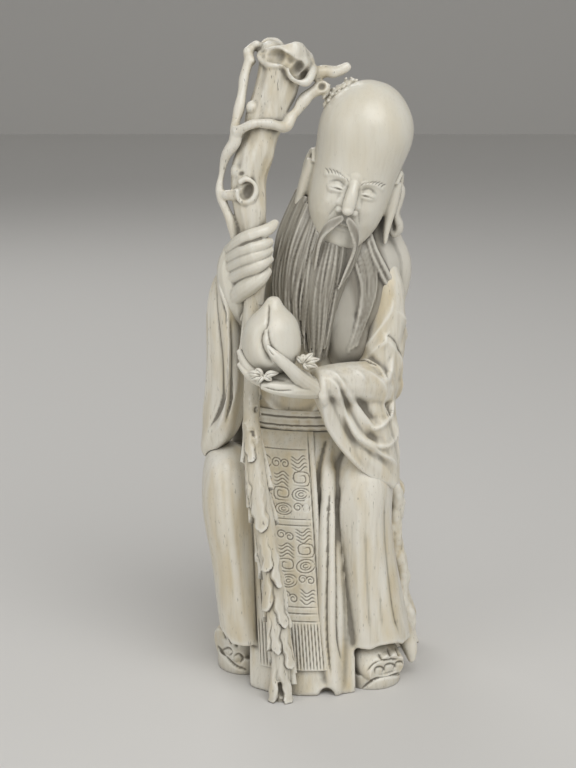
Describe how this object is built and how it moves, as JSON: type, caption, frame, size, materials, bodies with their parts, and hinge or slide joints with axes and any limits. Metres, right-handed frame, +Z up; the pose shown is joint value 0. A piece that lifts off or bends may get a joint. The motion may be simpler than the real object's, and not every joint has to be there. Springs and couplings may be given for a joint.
{
  "type": "okimono carving",
  "caption": "Bone carving of a seated sage with a tall domed head, long beard, root staff and peach, joined from pegged sections; a free-standing shelf ornament.",
  "frame": {"origin": "on the table, in the middle of the underside of the skirt block, between the shoes and the rock", "axes": "+Z up, the figure faces -Y, and +X is to the right of a viewer in front of it"},
  "size_m": [0.0894, 0.0951, 0.2549],
  "materials": {
    "robe_bone": "carved bone, satin, stained in the folds",
    "polished_bone": "bone polished to a soft gloss",
    "stained_bone": "bone cut in fine strands, rubbed with dark stain",
    "root_bone": "carved bone, satin, with short dark canal flecks",
    "peg_bone": "plain turned bone, glued"
  },
  "bodies": {
    "root": {"base_plug": "peg_bone", "robe_skirt": "robe_bone", "apron_panel": "robe_bone", "torso": "robe_bone", "waist_sash": "robe_bone", "head": "polished_bone", "hair_fall": "stained_bone", "beard": "stained_bone", "right_sleeve": "robe_bone", "left_sleeve": "robe_bone", "right_hand": "polished_bone", "left_hand": "polished_bone", "staff_shaft": "root_bone", "staff_crown": "root_bone", "staff_sprig": "root_bone", "peach": "polished_bone", "peach_leaves": "polished_bone", "rock_seat": "robe_bone", "right_shoe": "robe_bone", "left_shoe": "robe_bone", "neck_peg": "peg_bone", "waist_dowels": "peg_bone", "shoulder_pegs": "peg_bone", "rock_pegs": "peg_bone"}
  },
  "joints": []
}
